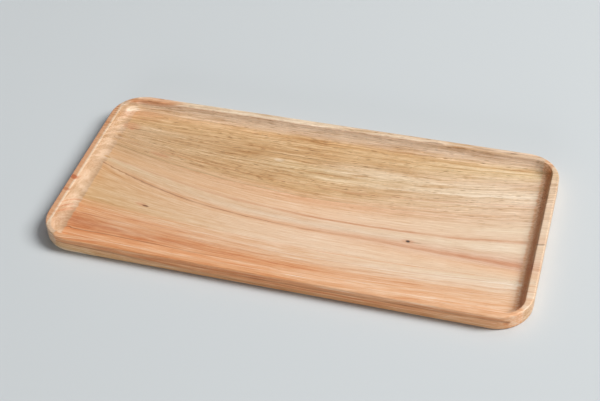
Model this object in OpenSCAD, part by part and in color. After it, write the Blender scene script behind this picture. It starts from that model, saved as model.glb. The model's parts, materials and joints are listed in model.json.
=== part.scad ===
// Long shallow tray carved from one board of hardwood.
// A flat rim runs round a well whose walls lean out a little and sweep into the floor in a cove.
// The length lies along X, the width along Y, and the origin is the centre of the underside.

/* [Board] */
// Length of the board
tray_l = 300; // [200:1:450]
// Width of the board
tray_w = 143; // [100:1:300]
// Height from the underside to the rim
tray_h = 10.4; // [9:0.1:16]
// Radius of the outer corners in plan
corner_r = 21.5; // [16:0.5:25]

/* [Well] */
// Thickness of wood left under the floor of the well
floor_t = 4; // [2.5:0.1:6]
// Width of the rim along the straight sides, out to the outer wall
rim_w = 4.8; // [3.8:0.1:12]
// Radius of the cove between the wall and the floor
cove_r = 7; // [4:0.5:13]
// Radius of the corners of the well in plan, where its wall reaches the rim
well_corner_r = 12.8; // [10.5:0.1:40]

/* [Softened edges] */
// Radius of the round between the outer wall and the underside
base_edge_r = 1.4; // [0.5:0.1:3]
// Radius of the round on the outer edge of the rim
outer_edge_r = 0.8; // [0.3:0.1:1.5]
// Radius of the round on the inner edge of the rim
inner_edge_r = 1; // [0.3:0.1:1.5]

/* [Hidden] */
$fn = 96;

// How far the cutting tool of the well runs on above the rim
overrun = 5;

// Depth of the well below the rim
well_depth = tray_h - floor_t;
// Height of the centre line of the cove
cove_z = floor_t + cove_r;
// The cove stops short of upright when the well is shallower than its radius
cove_lack = max(0, cove_z - tray_h);
// Distance in plan from the centre line of the cove out to the edge of the well
cove_reach = sqrt(pow(cove_r, 2) - pow(cove_lack, 2));
// Radius of the corners of the flat floor, which no cutter leaves quite sharp
least_corner_r = 1;
floor_corner_r = max(least_corner_r, well_corner_r - cove_reach);

// The round on the inner edge laps over the cove by a hair, so the two arcs cross instead of just touching
edge_lap = 0.004;
edge_z = tray_h - inner_edge_r;
// How far the centre of the edge round lies below the centre line of the cove, and how far outside it
edge_lack = max(0, cove_z - edge_z);
edge_span = cove_r + inner_edge_r - edge_lap;
edge_reach = sqrt(pow(edge_span, 2) - pow(edge_lack, 2));
// Height at which the cove passes into the edge round
seam_z = edge_z + edge_lack * inner_edge_r / edge_span;

// Places of the corner centres, for the board and for the well
board_cx = tray_l / 2 - corner_r;
board_cy = tray_w / 2 - corner_r;
well_inset = rim_w + cove_reach + floor_corner_r;
well_cx = tray_l / 2 - well_inset;
well_cy = tray_w / 2 - well_inset;

// Runs a section round a rectangle of corner centres at (cx, cy) and fills the middle from z_low up.
// The section is drawn with its distance from the centre line along X and its height along Y.
module rounded_block(cx, cy, z_low, z_high) {
    for (back = [0, 1])
        mirror([0, back, 0])
            translate([-cx, cy, 0])
                rotate([90, 0, 90])
                    linear_extrude(2 * cx)
                        children();
    for (left = [0, 1])
        mirror([left, 0, 0])
            translate([cx, cy, 0])
                rotate([90, 0, 0])
                    linear_extrude(2 * cy)
                        children();
    for (back = [0, 1], left = [0, 1])
        mirror([left, 0, 0])
            mirror([0, back, 0])
                translate([cx, cy, 0])
                    rotate_extrude(angle = 90)
                        children();
    translate([-cx, -cy, z_low])
        cube([2 * cx, 2 * cy, z_high - z_low]);
}

// Outer edge of the board: upright wall, large round below and small round above
module board_section() {
    square([corner_r - base_edge_r, tray_h / 2]);
    translate([0, tray_h / 2])
        square([corner_r - outer_edge_r, tray_h / 2]);
    translate([0, base_edge_r])
        square([corner_r, tray_h - base_edge_r - outer_edge_r]);
    translate([corner_r - base_edge_r, base_edge_r])
        circle(base_edge_r);
    translate([corner_r - outer_edge_r, tray_h - outer_edge_r])
        circle(outer_edge_r);
}

// The flat floor at a corner and the cove that rises from it, up to the rim
module cove_section() {
    translate([0, floor_t])
        square([floor_corner_r, well_depth]);
    intersection() {
        translate([floor_corner_r, floor_t])
            square([cove_r, well_depth]);
        union() {
            translate([floor_corner_r, cove_z])
                circle(cove_r);
            translate([0, cove_z])
                square([floor_corner_r + cove_r, tray_h]);
        }
    }
}

// The mouth of the well above the seam, which flares over the round on the inner edge
module mouth_section() {
    difference() {
        translate([0, seam_z])
            square([floor_corner_r + edge_reach, tray_h + overrun - seam_z]);
        translate([floor_corner_r + edge_reach, edge_z])
            circle(inner_edge_r);
    }
}

// The blank board with its outer corners and edges rounded
module board() {
    rounded_block(board_cx, board_cy, 0, tray_h)
        board_section();
}

// The wood that is carved away for the well
module well() {
    rounded_block(well_cx, well_cy, floor_t, tray_h + overrun) {
        cove_section();
        mouth_section();
    }
}

// The finished tray
module tray() {
    color([0.82, 0.62, 0.45])
        difference() {
            board();
            well();
        }
}

tray();
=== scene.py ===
import json
import math

import bpy
import numpy as np
from mathutils import Matrix, Vector


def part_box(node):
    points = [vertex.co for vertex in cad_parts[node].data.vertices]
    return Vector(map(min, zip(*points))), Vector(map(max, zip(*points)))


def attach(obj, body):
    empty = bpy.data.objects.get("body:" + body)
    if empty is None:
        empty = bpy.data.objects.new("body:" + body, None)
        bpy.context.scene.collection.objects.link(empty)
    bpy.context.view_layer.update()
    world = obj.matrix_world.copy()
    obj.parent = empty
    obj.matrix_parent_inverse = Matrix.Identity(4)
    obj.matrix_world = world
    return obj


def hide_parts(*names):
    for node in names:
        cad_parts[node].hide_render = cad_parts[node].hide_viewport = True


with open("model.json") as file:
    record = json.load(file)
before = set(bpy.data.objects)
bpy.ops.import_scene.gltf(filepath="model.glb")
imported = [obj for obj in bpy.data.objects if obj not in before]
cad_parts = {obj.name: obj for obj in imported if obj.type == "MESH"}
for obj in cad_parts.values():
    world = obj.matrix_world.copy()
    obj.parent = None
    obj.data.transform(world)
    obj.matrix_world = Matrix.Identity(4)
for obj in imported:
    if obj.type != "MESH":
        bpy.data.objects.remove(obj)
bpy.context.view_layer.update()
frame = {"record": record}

MM = 0.001
tray_low, tray_high = (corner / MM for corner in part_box("tray"))
MOUNTS = {mount["name"]: mount for mount in frame["record"]["mounts"]}

# The board's size comes from the frame; these are the sizes of its edges and of its well
HALF_LENGTH = tray_high.x
HALF_WIDTH = tray_high.y
HEIGHT = tray_high.z
FLOOR_Z = MOUNTS["well_floor"]["pos_m"][2] / MM
CORNER_R = 21.5
RIM_WIDTH = 4.8
COVE_R = 7
WELL_CORNER_R = 12.8
BASE_EDGE_R = 1.4
OUTER_EDGE_R = 0.8
INNER_EDGE_R = 1

# The cove stops short of upright and passes into the round on the inner edge of the rim
COVE_Z = FLOOR_Z + COVE_R
COVE_REACH = math.sqrt(COVE_R**2 - (COVE_Z - HEIGHT) ** 2)
FLOOR_CORNER_R = WELL_CORNER_R - COVE_REACH
WELL_INSET = RIM_WIDTH + WELL_CORNER_R
EDGE_Z = HEIGHT - INNER_EDGE_R
EDGE_ANGLE = math.acos((COVE_Z - EDGE_Z) / (COVE_R + INNER_EDGE_R))
MOUTH_CORNER_R = FLOOR_CORNER_R + (COVE_R + INNER_EDGE_R) * math.sin(EDGE_ANGLE)

# How many faces run along a long side, along a short side and round a corner
ALONG = 100
ACROSS = 44
ROUND = 16
LONG_RUN = ALONG + ROUND
SHORT_RUN = ACROSS + ROUND
LOOP = 2 * (LONG_RUN + SHORT_RUN)


# The mesh: loops of points round the board, from the underside over the rim to the floor

def loop_pattern():
    """Where each point of a loop belongs: its share of the way to each side, and its outward angle.

    A loop starts at the middle of the front left corner and runs anticlockwise."""
    corners = np.array([(-1, -1), (1, -1), (1, 1), (-1, 1), (-1, -1)])
    sides, angles = [], []
    for number, faces in enumerate((ALONG, ACROSS, ALONG, ACROSS)):
        here, there = corners[number], corners[number + 1]
        outward = 90 * number - 90
        turn = [90 * step / ROUND for step in range(ROUND // 2)]
        sides += [here] * len(turn)
        angles += [outward - 45 + angle for angle in turn]
        sides += [here + (there - here) * step / faces for step in range(faces)]
        angles += [outward] * faces
        sides += [there] * len(turn)
        angles += [outward + angle for angle in turn]
    return np.array(sides, float), np.radians(angles)


SIDES, ANGLES = loop_pattern()
ROUND_CORNERS = np.stack([np.cos(ANGLES), np.sin(ANGLES)], axis=1)
SQUARE_CORNERS = ROUND_CORNERS / np.abs(ROUND_CORNERS).max(axis=1, keepdims=True)


def loop(inset, radius, z, corners=ROUND_CORNERS):
    """A loop at height z whose corners have their centres that far inside the outer wall."""
    centres = SIDES * (HALF_LENGTH - inset, HALF_WIDTH - inset)
    plan = centres + corners * radius
    return np.column_stack([plan, np.full(LOOP, z)])


def section():
    """The tray's section from the underside to the floor, as (inset of corner centres, radius, height)."""
    points = []
    for angle in np.radians(np.linspace(-90, 0, 7)):
        radius = CORNER_R - BASE_EDGE_R * (1 - math.cos(angle))
        points.append((CORNER_R, radius, BASE_EDGE_R * (1 + math.sin(angle))))
    for z in np.linspace(BASE_EDGE_R, HEIGHT - OUTER_EDGE_R, 5)[1:]:
        points.append((CORNER_R, CORNER_R, z))
    for angle in np.radians(np.linspace(0, 90, 6))[1:]:
        radius = CORNER_R - OUTER_EDGE_R * (1 - math.cos(angle))
        points.append((CORNER_R, radius, HEIGHT - OUTER_EDGE_R * (1 - math.sin(angle))))
    rim_corner_r = CORNER_R - OUTER_EDGE_R
    for share in np.linspace(0, 1, 5)[1:]:
        inset = CORNER_R + share * (WELL_INSET - CORNER_R)
        points.append((inset, rim_corner_r + share * (MOUTH_CORNER_R - rim_corner_r), HEIGHT))
    for angle in np.linspace(0, EDGE_ANGLE, 6)[1:]:
        radius = MOUTH_CORNER_R - INNER_EDGE_R * math.sin(angle)
        points.append((WELL_INSET, radius, EDGE_Z + INNER_EDGE_R * math.cos(angle)))
    for angle in np.linspace(EDGE_ANGLE, 0, 17)[1:]:
        radius = FLOOR_CORNER_R + COVE_R * math.sin(angle)
        points.append((WELL_INSET, radius, COVE_Z - COVE_R * math.cos(angle)))
    return points


def between(first, last, steps):
    """The loops between two loops."""
    return [first + (last - first) * step / steps for step in range(1, steps)]


def fill_grid(points, first, offset):
    """A grid of point numbers inside a square loop whose numbers start at first; new points start at offset."""
    number = first + np.arange(LOOP + 1) % LOOP
    right = LONG_RUN + SHORT_RUN
    grid = np.zeros((SHORT_RUN + 1, LONG_RUN + 1), int)
    grid[0] = number[: LONG_RUN + 1]
    grid[:, -1] = number[LONG_RUN : right + 1]
    grid[-1] = number[right : right + LONG_RUN + 1][::-1]
    grid[:, 0] = number[right + LONG_RUN :][::-1]
    inside = (SHORT_RUN - 1, LONG_RUN - 1)
    grid[1:-1, 1:-1] = offset + np.arange(inside[0] * inside[1]).reshape(inside)
    x, y = np.meshgrid(points[grid[0, 1:-1], 0], points[grid[1:-1, -1], 1])
    flat = np.full(x.size, points[first, 2])
    return grid, np.column_stack([x.ravel(), y.ravel(), flat])


def grid_faces(grid):
    """The faces of a grid of point numbers, facing up if it runs right and then back."""
    corners = grid[:-1, :-1], grid[:-1, 1:], grid[1:, 1:], grid[1:, :-1]
    return np.stack(corners, axis=-1).reshape(-1, 4)


# How far the square loops of the two flat faces lie inside the round ones, and the run of their corners
UNDERSIDE_STEP, UNDERSIDE_RUN = 8.5, 16
FLOOR_STEP, FLOOR_RUN = 4, 5
UNDERSIDE_LOOPS = 4


def tray_surface():
    """Points and faces of the whole surface, and how many of the faces make up the flat underside."""
    loops = [loop(*place) for place in section()]
    under = loop(CORNER_R + UNDERSIDE_STEP, UNDERSIDE_RUN, 0, SQUARE_CORNERS)
    floor = loop(WELL_INSET + FLOOR_STEP, FLOOR_RUN, FLOOR_Z, SQUARE_CORNERS)
    loops = [under, *between(under, loops[0], UNDERSIDE_LOOPS), *loops, floor]
    points = np.concatenate(loops)
    band = np.arange(len(loops) * LOOP).reshape(len(loops), LOOP)
    band = np.column_stack([band, band[:, 0]])
    under_grid, under_points = fill_grid(points, 0, len(points))
    floor_grid, floor_points = fill_grid(points, band[-1, 0], len(points) + len(under_points))
    underside = np.concatenate([grid_faces(under_grid)[:, ::-1], grid_faces(band[: UNDERSIDE_LOOPS + 1])])
    faces = np.concatenate([underside, grid_faces(band[UNDERSIDE_LOOPS:]), grid_faces(floor_grid)])
    return np.concatenate([points, under_points, floor_points]), faces, len(underside)


# The growth lines: sheets of wood that bow towards the back at both ends of the board.
# A sheet is named by where it crosses the middle of the floor. Each line says how far it has
# moved back at the left and the right end, and where along the board the two bows start.
GROWTH_LINES = (
    (-75, 7, 0, 10, 10),
    (-66, 5, 2, 10, 10),
    (-58, 3, 6, 10, 10),
    (-50, 8, 5, 10, 10),
    (-44, 9, 8, 10, 10),
    (-36, 9, 2, 10, 0),
    (-22, 28, -2, 0, 0),
    (-11, 24, 8, 25, 35),
    (6, 20, 12, 10, 10),
    (16, 16, 13, 10, 0),
    (28, 11, 16, 10, 0),
    (40, 3, 12, 0, 0),
    (56, 0, 5, 0, 0),
    (75, 0, 2, 0, 0),
)
LINES_END = 136
# How far a growth sheet leans to the front for each millimetre that it rises, at places along the board
LEAN_PLACES = (-140, -100, 140)
LEANS = (1.8, 1.1, 0.86)


def bow(ring, x):
    """How far back the sheet that crosses the middle at ring has moved at x."""
    places, left, right, left_start, right_start = np.array(GROWTH_LINES, float).T
    left_start = np.interp(ring, places, left_start)
    right_start = np.interp(ring, places, right_start)
    to_left = np.clip((left_start - x) / (LINES_END + left_start), 0, None)
    to_right = np.clip((x - right_start) / (LINES_END - right_start), 0, None)
    return np.interp(ring, places, left) * to_left**2 + np.interp(ring, places, right) * to_right**2


def ring_at(x, y, z=FLOOR_Z):
    """Which growth sheet passes through a place: where that sheet crosses the middle of the floor."""
    level = y + np.interp(x, LEAN_PLACES, LEANS) * (z - FLOOR_Z)
    low = np.full(np.shape(level), -150.0)
    high = np.full(np.shape(level), 150.0)
    for _ in range(24):
        middle = (low + high) / 2
        behind = middle + bow(middle, x) < level
        low = np.where(behind, middle, low)
        high = np.where(behind, high, middle)
    return (low + high) / 2


# A map of the surface laid out flat: floor, walls and rim in one piece, and the underside behind it
MAP_SIDE = 345
MAP_GAP = 4


def laid_out(points):
    """Map places for the upper surface, unrolled from the floor outwards, and for the underside."""
    inset, radius, z = np.array(section()).T
    steps = np.hypot(np.diff(inset - radius), np.diff(z))
    run = np.concatenate([np.cumsum(steps[::-1])[::-1], [0]])
    upper = points[:, :2].copy()
    for number, distance in enumerate(run, start=UNDERSIDE_LOOPS):
        unrolled = loop(WELL_INSET, FLOOR_CORNER_R + distance, 0)
        upper[number * LOOP : (number + 1) * LOOP] = unrolled[:, :2]
    spread = run[0] + FLOOR_CORNER_R - WELL_INSET
    upper_middle = np.array([HALF_LENGTH + spread + MAP_GAP, HALF_WIDTH + spread + MAP_GAP])
    under_middle = upper_middle + (0, 2 * HALF_WIDTH + spread + MAP_GAP)
    return (upper + upper_middle) / MAP_SIDE, (points[:, :2] * (1, -1) + under_middle) / MAP_SIDE


def make_tray():
    """The tray as one mesh, with its growth sheets kept on its points."""
    points, faces, underside = tray_surface()
    mesh = bpy.data.meshes.new("carved_tray")
    mesh.from_pydata((points * MM).tolist(), [], faces.tolist())
    mesh.shade_smooth()
    x, y, z = points.T
    grain = np.column_stack([x, ring_at(x, y, z), z])
    mesh.attributes.new("grain", "FLOAT_VECTOR", "POINT").data.foreach_set("vector", grain.ravel())
    upper, under = laid_out(points)
    places = np.concatenate([under[faces[:underside]], upper[faces[underside:]]])
    mesh.uv_layers.new(name="OFBake").data.foreach_set("uv", places.ravel())
    tray = bpy.data.objects.new("carved_tray", mesh)
    bpy.context.collection.objects.link(tray)
    return tray


# A palette of wood tones, as they look in plain light
def tone(red, green, blue):
    """A colour given as it looks on a screen, from 0 to 255, for a shader."""
    def plain(level):
        level = level / 255
        return level / 12.92 if level <= 0.04045 else ((level + 0.055) / 1.055) ** 2.4
    return (plain(red), plain(green), plain(blue), 1)


TONES = {
    "cream": tone(238, 212, 182),
    "shell": tone(230, 196, 164),
    "straw": tone(230, 199, 155),
    "wheat": tone(224, 190, 150),
    "peach": tone(238, 193, 154),
    "blush": tone(240, 203, 169),
    "apricot": tone(234, 178, 134),
    "amber": tone(226, 158, 106),
    "tawny": tone(216, 142, 88),
    "clay": tone(204, 134, 90),
    "rust": tone(190, 106, 62),
    "sand": tone(218, 168, 120),
    "honey": tone(217, 174, 124),
    "tan": tone(212, 172, 130),
    "oat": tone(191, 155, 121),
    "ochre": tone(196, 146, 90),
    "moss": tone(176, 140, 92),
    "rose": tone(216, 164, 134),
    "umber": tone(128, 86, 56),
    "bark": tone(122, 72, 38),
    "soot": tone(62, 42, 30),
}

# The tones that the growth sheets take from the front of the board to its back
BANDS_LEFT = (
    (-80, "honey"), (-75, "sand"), (-71, "tawny"), (-66, "tawny"), (-63, "apricot"), (-60, "amber"),
    (-54, "clay"), (-48, "amber"), (-43, "amber"), (-36, "honey"), (-22, "sand"), (-14, "wheat"), (-6, "sand"), (4, "tan"), (42, "tan"), (52, "honey"),
    (60, "sand"), (78, "cream"),
)
BANDS_MIDDLE = (
    (-76, "sand"), (-71, "tawny"), (-67, "tawny"), (-64, "amber"), (-60, "apricot"), (-53, "amber"), (-49, "peach"), (-34, "blush"),
    (-28, "blush"), (-21, "peach"), (-17, "shell"), (-9, "peach"), (-2, "peach"), (5, "apricot"),
    (12, "honey"), (21, "honey"), (30, "straw"), (41, "honey"), (60, "honey"), (64, "shell"), (73, "cream"),
)
BANDS_RIGHT = (
    (-76, "sand"), (-71, "amber"), (-68, "amber"), (-66, "apricot"), (-60, "peach"), (-53, "peach"), (-42, "cream"), (-29, "peach"),
    (-22, "rose"), (-15, "cream"), (-9, "shell"), (-3, "cream"), (5, "shell"), (14, "shell"),
    (23, "cream"), (35, "shell"), (49, "straw"), (57, "straw"), (62, "shell"),
)
BANDS_START, BANDS_END = -80, 80


class Value:
    """A number that varies over the wood, with plain arithmetic for the shader nodes behind it."""

    def __init__(self, tree, socket):
        self.tree = tree
        self.socket = socket

    def _math(self, operation, *others):
        node = self.tree.nodes.new("ShaderNodeMath")
        node.operation = operation
        for place, value in zip(node.inputs, (self, *others)):
            plug(self.tree, place, value)
        return Value(self.tree, node.outputs[0])

    def __add__(self, other):
        return self._math("ADD", other)

    def __sub__(self, other):
        return self._math("SUBTRACT", other)

    def __mul__(self, other):
        return self._math("MULTIPLY", other)

    def __truediv__(self, other):
        return self._math("DIVIDE", other)

    __radd__ = __add__
    __rmul__ = __mul__

    def __rsub__(self, other):
        return (self * -1) + other

    def size(self):
        return self._math("ABSOLUTE")

    def least(self, other):
        return self._math("MINIMUM", other)

    def most(self, other):
        return self._math("MAXIMUM", other)

    def rise(self, start, end):
        """0 at start and 1 at end, with a soft way between; start may be the larger."""
        node = self.tree.nodes.new("ShaderNodeMapRange")
        node.interpolation_type = "SMOOTHSTEP"
        plug(self.tree, node.inputs["Value"], self)
        plug(self.tree, node.inputs["From Min"], start)
        plug(self.tree, node.inputs["From Max"], end)
        return Value(self.tree, node.outputs["Result"])


def plug(tree, place, value):
    """Gives an input a plain number or colour, or links it to another node."""
    if isinstance(value, Value):
        value = value.socket
    if isinstance(value, bpy.types.NodeSocket):
        tree.links.new(value, place)
    else:
        place.default_value = value


def joined(tree, x, y, z):
    """A vector from three numbers or values."""
    node = tree.nodes.new("ShaderNodeCombineXYZ")
    for place, value in zip(node.inputs, (x, y, z)):
        plug(tree, place, value)
    return node.outputs[0]


def mixed(tree, below, above, share, blend="MIX"):
    """One colour laid over another."""
    node = tree.nodes.new("ShaderNodeMix")
    node.data_type = "RGBA"
    node.blend_type = blend
    plug(tree, node.inputs[0], share)
    plug(tree, node.inputs[6], below)
    plug(tree, node.inputs[7], above)
    return node.outputs[2]


class Grain:
    """The three ways through the wood: along the fibres, from ring to ring, and through the board."""

    def __init__(self, tree):
        self.tree = tree
        attribute = tree.nodes.new("ShaderNodeAttribute")
        attribute.attribute_name = "grain"
        parts = tree.nodes.new("ShaderNodeSeparateXYZ")
        tree.links.new(attribute.outputs["Vector"], parts.inputs[0])
        self.along, self.ring, self.through = (Value(tree, socket) for socket in parts.outputs)
        self.ring = self.ring + (self.noise(70, 14) - 0.5) * 2.2 + (self.noise(16, 5) - 0.5) * 0.8
        self.ring = self.ring + (self.noise(9, 3) - 0.5) * self.ring.rise(0, 20) * 1.6
        self.to_left = (self.along / -135).most(0)
        self.to_right = (self.along / 135).most(0)

    def at(self, length, width):
        """Where a place lies in a pattern of that length and width."""
        return joined(self.tree, self.along / length, self.ring / width, self.through / width)

    def noise(self, length, width, detail=2, roughness=0.5):
        """Soft noise with features of that length along the fibres and that width across them."""
        node = self.tree.nodes.new("ShaderNodeTexNoise")
        self.tree.links.new(self.at(length, width), node.inputs["Vector"])
        node.inputs["Scale"].default_value = 1
        node.inputs["Detail"].default_value = detail
        node.inputs["Roughness"].default_value = roughness
        return Value(self.tree, node.outputs[0])

    def specks(self, length, width):
        """Distance to the nearest of many scattered specks, and a number that is each speck's own."""
        node = self.tree.nodes.new("ShaderNodeTexVoronoi")
        self.tree.links.new(self.at(length, width), node.inputs["Vector"])
        node.inputs["Scale"].default_value = 1
        parts = self.tree.nodes.new("ShaderNodeSeparateColor")
        self.tree.links.new(node.outputs["Color"], parts.inputs[0])
        return Value(self.tree, node.outputs["Distance"]), Value(self.tree, parts.outputs[0])

    def varying(self, left, middle, right):
        """A number that changes steadily from the left end over the middle to the right end."""
        return self.to_left * (left - middle) + self.to_right * (right - middle) + middle

    def bands(self, places):
        """The tones of the growth sheets."""
        node = self.tree.nodes.new("ShaderNodeValToRGB")
        share = (self.ring - BANDS_START) / (BANDS_END - BANDS_START)
        plug(self.tree, node.inputs[0], share)
        ramp = node.color_ramp
        for number, (place, name) in enumerate(places):
            position = (place - BANDS_START) / (BANDS_END - BANDS_START)
            stop = ramp.elements[number] if number < 2 else ramp.elements.new(position)
            stop.position = position
            stop.color = TONES[name]
        return node.outputs[0]


# Single growth lines: the sheet, the tone, the half widths in front of it and behind it, and how much of it
# shows at the left end, in the middle and at the right end
LINES = (
    (-22, "bark", 0.5, 0.9, (0.9, 0.35, 0.0)),
    (-21.5, "clay", 2.2, 3.0, (0.2, 0.35, 0.7)),
    (-11, "clay", 0.9, 1.9, (0.4, 0.75, 0.6)),
    (6, "moss", 0.8, 1.6, (0.8, 0.5, 0.0)),
    (16, "clay", 0.7, 1.6, (0.3, 0.35, 0.35)),
    (28, "ochre", 0.7, 1.4, (0.6, 0.35, 0.0)),
    (41, "moss", 1.0, 1.6, (0.5, 0.55, 0.1)),
    (51, "ochre", 1.4, 2.2, (0.5, 0.6, 0.2)),
    (56, "ochre", 1.0, 1.8, (0.2, 0.8, 0.7)),
    (72.5, "clay", 0.7, 0.9, (0.7, 0.45, 0.3)),
    (-38.5, "apricot", 0.8, 1.4, (0.5, 0.7, 0.3)),
    (-45, "rust", 0.5, 1.0, (0.4, 0.2, 0.1)),
    (-49, "rust", 0.6, 1.2, (0.5, 0.3, 0.2)),
    (-54, "rust", 1.4, 1.6, (0.3, 0.2, 0.05)),
    (-58, "umber", 0.4, 0.8, (0.6, 0.1, 0.0)),
    (-69, "bark", 1.0, 1.3, (0.0, 0.3, 0.5)),
    (-73, "bark", 1.3, 1.8, (0.55, 0.2, 0.0)),
)

# Marks of their own, and two painted highlights: the place along the board, the sheet, half the length and half
# the width, the tone and how strong it is
MARKS = (
    (-72, 30, 52, 17, "ochre", 0.4),
    (25, 36, 34, 8, "cream", 0.3),
    (-94, -51, 22, 4, "peach", 0.45),
    (-55, 47, 62, 3.5, "ochre", 0.3),
    # Painted highlight: the window's sheen in the back-left corner of the well
    (-139, 65, 4.5, 5, "cream", 0.8),
    (-130, 58, 16, 7, "clay", 0.3),
    (-105, 12, 9, 2.6, "clay", 0.5),
    (-134, 44, 7, 5, "clay", 0.5),
    (-27, 35, 4, 1.8, "cream", 0.6),
    (-125, 77, 24, 5, "tawny", 0.75),
    (-147.5, -28.6, 3, 1.0, "rust", 1),
    (-147.5, -33, 3, 0.6, "rust", 0.6),
    (-138, -12, 3, 1.6, "ochre", 0.8),
    (-134, 40, 3, 1.8, "clay", 0.7),
    (147.5, -11.9, 3.5, 0.3, "umber", 0.7),
    (-142, -39.5, 5, 0.8, "clay", 0.6),
    (-143, -44, 4, 0.8, "rust", 0.5),
    (-142, -48, 5, 1.5, "clay", 0.5),
    (68, 73, 8, 0.8, "umber", 0.55),
    (84, 71.5, 7, 0.9, "umber", 0.6),
    (100, 73.5, 10, 0.8, "umber", 0.5),
    (117, 72, 7, 0.8, "umber", 0.6),
    (92, 70, 32, 3, "ochre", 0.45),
    # Painted highlight: a pale band along the lower edge of the front wall near the front-left corner
    (-138, -84, 34, 4, "cream", 0.6),
    (70, -18, 5, 1.6, "clay", 0.5),
    (74, -18.1, 5, 0.5, "umber", 0.3),
    (70, -18, 1.6, 1.0, "soot", 1),
    (-99, -32.7, 5, 0.9, "clay", 0.6),
    (-96, -32.9, 2.6, 0.5, "bark", 0.95),
)


def wood_figure(grain):
    """The bands, lines and marks of the board, before its fibres and pores."""
    tree = grain.tree
    middle = grain.bands(BANDS_MIDDLE)
    colour = mixed(tree, middle, grain.bands(BANDS_LEFT), grain.to_left)
    colour = mixed(tree, colour, grain.bands(BANDS_RIGHT), grain.to_right)
    broken = grain.noise(24, 5).rise(0.3, 0.6) * 0.5 + 0.5
    for sheet, name, front, behind, shows in LINES:
        off = grain.ring - sheet
        line = off.rise(-front, 0).least(off.rise(behind, 0))
        colour = mixed(tree, colour, TONES[name], line * grain.varying(*shows) * broken)
    colour = end_washes(grain, colour)
    ragged = (grain.noise(6, 1.2) - 0.5) * 1.2
    for place, sheet, length, width, name, strength in MARKS:
        off = joined(tree, (grain.along - place) / length, (grain.ring - sheet) / width, ragged)
        mark = length_of(tree, off).rise(1.15, 0.5)
        colour = mixed(tree, colour, TONES[name], mark * strength)
    return colour


# Where the tone of the wood changes at the two short walls: the foot of the wall, the edge of the rim and
# its flat top. A painted highlight runs along the inner edge of the left rim.
LEFT_FOOT, LEFT_EDGE, LEFT_RIM = -136.8, -145, -146.2
RIGHT_FOOT, RIGHT_EDGE = 138.2, 145


def end_washes(grain, colour):
    """The tones of the short walls and their rims, where the fibres come to the surface, and a painted
    highlight along the inner edge of the left rim.
    """
    tree = grain.tree
    ragged = grain.along + (grain.noise(14, 4) - 0.5) * 4
    pale = ragged.rise(LEFT_FOOT, LEFT_FOOT - 1.6)
    swirls = grain.noise(30, 7, 2).rise(0.46, 0.56)
    colour = mixed(tree, colour, TONES["oat"], pale * 0.85)
    colour = mixed(tree, colour, TONES["shell"], pale * swirls * 0.55)
    # Painted highlight: a thin cream line along the inner edge of the left rim, where its round catches the
    # light
    painted_edge_highlight = grain.along.rise(LEFT_EDGE, LEFT_EDGE - 0.4)
    colour = mixed(tree, colour, TONES["cream"], painted_edge_highlight * 0.5)
    colour = mixed(tree, colour, TONES["tawny"], grain.along.rise(LEFT_RIM, LEFT_RIM - 0.6) * 0.7)
    wall = ragged.rise(RIGHT_FOOT, RIGHT_FOOT + 1.6) * grain.along.rise(RIGHT_EDGE, RIGHT_EDGE - 0.8)
    colour = mixed(tree, colour, TONES["apricot"], wall * 0.85)
    colour = mixed(tree, colour, TONES["shell"], grain.along.rise(RIGHT_EDGE, RIGHT_EDGE + 0.6) * 0.5)
    outside = grain.along.rise(RIGHT_EDGE, RIGHT_EDGE + 2) * grain.through.rise(HEIGHT, HEIGHT - OUTER_EDGE_R)
    return mixed(tree, colour, TONES["ochre"], outside * 0.6)


def length_of(tree, vector):
    """The length of a vector."""
    node = tree.nodes.new("ShaderNodeVectorMath")
    node.operation = "LENGTH"
    plug(tree, node.inputs[0], vector)
    return Value(tree, node.outputs["Value"])


def scaled(tree, colour, factor):
    """A colour made lighter or darker by a varying factor."""
    node = tree.nodes.new("ShaderNodeVectorMath")
    node.operation = "SCALE"
    plug(tree, node.inputs[0], colour)
    plug(tree, node.inputs["Scale"], factor)
    return node.outputs[0]


def denser(tree, colour, depth):
    """A colour as it looks through more or less of the wood's own stain; a depth of 1 leaves it as it is."""
    node = tree.nodes.new("ShaderNodeGamma")
    plug(tree, node.inputs["Color"], colour)
    plug(tree, node.inputs["Gamma"], depth)
    return node.outputs[0]


# The way out of the wood along the fibres, which rise a little towards the left end of the board, so that
# the shaded right inner wall meets them head-on and the lit left inner wall does not: the darkening they give
# that wall is partly painted shade
FIBRES = Vector((-0.88, 0, 0.47))


def end_grain_and_shaded_wall(tree):
    """How nearly head-on the surface meets the fibres that end in it: 1 across them, 0 or less elsewhere.
    It is near 1 on the shaded right inner wall and low on the lit left inner wall, so it marks both end grain
    and painted shade.
    """
    geometry = tree.nodes.new("ShaderNodeNewGeometry")
    node = tree.nodes.new("ShaderNodeVectorMath")
    node.operation = "DOT_PRODUCT"
    tree.links.new(geometry.outputs["Normal"], node.inputs[0])
    node.inputs[1].default_value = FIBRES
    return Value(tree, node.outputs["Value"])


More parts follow.
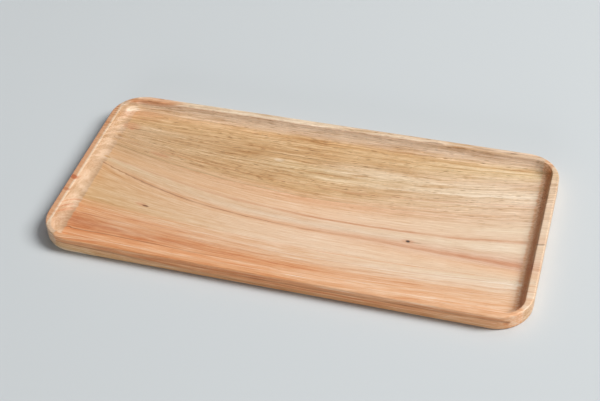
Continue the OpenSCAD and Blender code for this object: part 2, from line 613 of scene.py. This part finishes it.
def wood_material():
    """Oiled light hardwood: coarse and open grained at the back of the board, close grained at its front."""
    material = bpy.data.materials.new("oiled_hardwood")
    material.use_nodes = True
    tree = material.node_tree
    shader = tree.nodes["Principled BSDF"]
    grain = Grain(tree)
    coarse = grain.ring.rise(-8, 20)
    front = grain.ring.rise(-34, -43)
    cut = end_grain_and_shaded_wall(tree)
    calm = grain.along.rise(LEFT_FOOT - 2, LEFT_FOOT) * 0.6 + 0.4
    # More stain where the surface cuts across the fibres: partly end grain, partly a painted warm shade on the
    # right inner wall, which faces away from the window
    ends_and_painted_shade = cut.rise(0.77, 0.95)
    # Painted shade: the steep top of the right inner wall, in the shadow of the rim, is made darker
    painted_wall_shade = cut.rise(0.92, 0.985)

    streaks = (grain.noise(130, 2.6, 3, 0.6) - 0.5) * calm
    strands = (grain.noise(34, 1, 3, 0.6) - 0.5) * calm
    fibres = (grain.noise(12, 0.5, 2, 0.7) - 0.5) * calm
    seams = (grain.noise(150, 2, 2) - 0.5).size().rise(0.05, 0)
    near, own = grain.specks(8, 1.1)
    dashes = near.rise(0.34, 0.1) * own.rise(0.45, 0.6) * (coarse * 0.3 + 0.03)
    near, own = grain.specks(3.4, 0.6)
    pores = near.rise(0.3, 0.1) * own.rise(0.35, 0.5)
    flecks = near.rise(0.5, 0.2) * own.rise(0.14, 0.05) * coarse * 0.16

    colour = wood_figure(grain)
    clouds = grain.noise(34, 6, 2)
    colour = mixed(tree, colour, TONES["ochre"], clouds.rise(0.5, 0.74) * coarse * 0.6)
    colour = mixed(tree, colour, TONES["straw"], clouds.rise(0.5, 0.3) * coarse * 0.15)
    depth = 0.91 - streaks * (front * 0.7 + coarse * 0.3 + 0.5) - strands * (front * 0.9 + 0.5)
    # The stain added across the fibres here is partly painted shade on the right inner wall
    depth = depth + seams * (coarse * 0.2 + 0.12) + dashes * 1.6 + ends_and_painted_shade * 0.65 - fibres * 0.8
    shade = 0.975 + streaks * (coarse * 0.14 + 0.04) + strands * (coarse * 0.36 + 0.12)
    shade = shade + fibres * (coarse * 0.5 + 0.22) + flecks - dashes - seams * (coarse * 0.08 + 0.02)
    # The last term is painted shade on the steep top of the right inner wall
    shade = shade - pores * (coarse * 0.16 + 0.08) - painted_wall_shade * 0.1
    colour = scaled(tree, denser(tree, colour, depth), shade)
    plug(tree, shader.inputs["Base Color"], colour)
    plug(tree, shader.inputs["Roughness"], 0.38 + pores * 0.15 - strands * 0.3)
    shader.inputs["Specular IOR Level"].default_value = 0.5
    bump = tree.nodes.new("ShaderNodeBump")
    bump.inputs["Distance"].default_value = 0.06 * MM
    plug(tree, bump.inputs["Height"], strands * 2 + fibres * 2 - pores - dashes * 2)
    tree.links.new(bump.outputs["Normal"], shader.inputs["Normal"])
    return material


# The light and the camera

def make_floor():
    """A wide pale floor."""
    mesh = bpy.data.meshes.new("floor")
    reach = 2.8
    corners = [(-reach, -reach, 0), (reach, -reach, 0), (reach, reach, 0), (-reach, reach, 0)]
    mesh.from_pydata(corners, [], [(0, 1, 2, 3)])
    floor = bpy.data.objects.new("floor", mesh)
    bpy.context.collection.objects.link(floor)
    material = bpy.data.materials.new("pale_floor")
    material.use_nodes = True
    shader = material.node_tree.nodes["Principled BSDF"]
    shader.inputs["Base Color"].default_value = tone(210, 215, 218)
    shader.inputs["Roughness"].default_value = 0.9
    shader.inputs["Specular IOR Level"].default_value = 0.2
    mesh.materials.append(material)


# The cone that each light fills, so that the floor under a lamp stays as plain as the floor at the tray
LIGHT_SPREAD = 100


def make_light(name, azimuth, elevation, distance, sides, power, colour):
    """A soft light, so wide and so high, that looks at the tray from a compass direction; 0 is its front."""
    lamp = bpy.data.lights.new(name, "AREA")
    lamp.shape = "RECTANGLE"
    lamp.size, lamp.size_y = sides
    lamp.spread = math.radians(LIGHT_SPREAD)
    lamp.energy = power
    lamp.color = colour
    light = bpy.data.objects.new(name, lamp)
    light.matrix_world = looking_back(azimuth, elevation, distance)
    bpy.context.collection.objects.link(light)


def looking_back(azimuth, elevation, distance, aim=(0, 0, 0), roll=0):
    """The placing of a camera or light that far from its aim, in metres and degrees."""
    turn, rise, roll = (math.radians(angle) for angle in (azimuth, elevation, roll))
    back = Vector((math.sin(turn) * math.cos(rise), -math.cos(turn) * math.cos(rise), math.sin(rise)))
    right = Vector((0, 0, 1)).cross(back).normalized()
    place = Matrix((right, back.cross(right), back)).transposed().to_4x4()
    place.translation = Vector(aim) + back * distance
    return place @ Matrix.Rotation(roll, 4, "Z")


def make_camera():
    """A camera at the angle of the photograph."""
    lens = bpy.data.cameras.new("camera")
    lens.lens = 74.3
    lens.sensor_width = 36
    camera = bpy.data.objects.new("camera", lens)
    camera.matrix_world = looking_back(18.723, 42.622, 0.77806, (-0.004469, 0.005681, 0), -3.521)
    bpy.context.collection.objects.link(camera)
    bpy.context.scene.camera = camera


# How bright the world is where it lights the tray, and where it is seen
WORLD_LIGHT = 0.08
BACKDROP = 0.62


def make_world():
    """Weak light from all round, with a pale backdrop behind the floor."""
    world = bpy.data.worlds.new("studio")
    world.use_nodes = True
    tree = world.node_tree
    background = tree.nodes["Background"]
    background.inputs["Color"].default_value = (0.93, 0.97, 1.0, 1)
    rays = tree.nodes.new("ShaderNodeLightPath")
    seen = Value(tree, rays.outputs["Is Camera Ray"])
    for kind in ("Is Glossy Ray", "Is Transmission Ray"):
        seen = seen.most(Value(tree, rays.outputs[kind]))
    plug(tree, background.inputs["Strength"], seen * (BACKDROP - WORLD_LIGHT) + WORLD_LIGHT)
    bpy.context.scene.world = world


make_camera()
make_world()
make_light("window", 104, 44, 4, (1.2, 2.2), 56.5, (1, 0.99, 0.97))
make_light("overhead", 170, 66, 3, (2.2, 2.2), 4.2, (0.96, 0.98, 1))
make_light("front_fill", 3, 9, 3.5, (1.9, 0.8), 11, (0.98, 0.99, 1))
make_floor()
tray = make_tray()
tray.data.materials.append(wood_material())
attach(tray, "root")
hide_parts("tray")

bpy.context.scene.view_settings.view_transform = "Standard"
